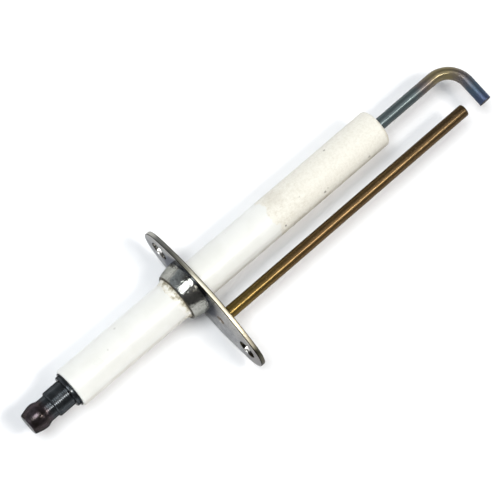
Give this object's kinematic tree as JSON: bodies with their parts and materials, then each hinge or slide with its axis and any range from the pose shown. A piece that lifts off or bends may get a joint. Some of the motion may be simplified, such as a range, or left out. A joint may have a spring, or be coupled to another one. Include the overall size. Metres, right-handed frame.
{
  "type": "ignition electrode",
  "caption": "Gas burner ignition electrode: ceramic-insulated spark rod with a bent tip facing a bare earth rod, on an oval two-screw flange, with a push-on terminal at the rear.",
  "frame": {"origin": "on the insulator's axis, on the flange's front face, which seats against the burner", "axes": "+X along the insulator from the terminal to the spark gap, +Y along the flange away from the earth rod, +Z square to both"},
  "size_m": [0.1271, 0.0387, 0.0174],
  "materials": {
    "glazed_alumina": "clear glaze behind the flange, thinner and creamier towards the tip",
    "spark_rod_alloy": "drawn rod, heat-tinted blue grey, straw at the bend",
    "blackened_steel": "black oxide with a soft shine",
    "cement": "rough and lumpy",
    "pressed_steel": "satin",
    "polished_steel": "polished",
    "tarnished_rod_alloy": "drawn rod, tarnished brown"
  },
  "bodies": {
    "root": {"insulator": "glazed_alumina", "spark_electrode": "spark_rod_alloy", "terminal": "blackened_steel", "terminal_washer": "blackened_steel", "rear_bore_cement": "cement", "front_bore_cement": "cement", "flange_plate": "pressed_steel", "flange_sleeve": "polished_steel", "sleeve_cement": "cement", "earth_rod": "tarnished_rod_alloy"}
  },
  "joints": []
}
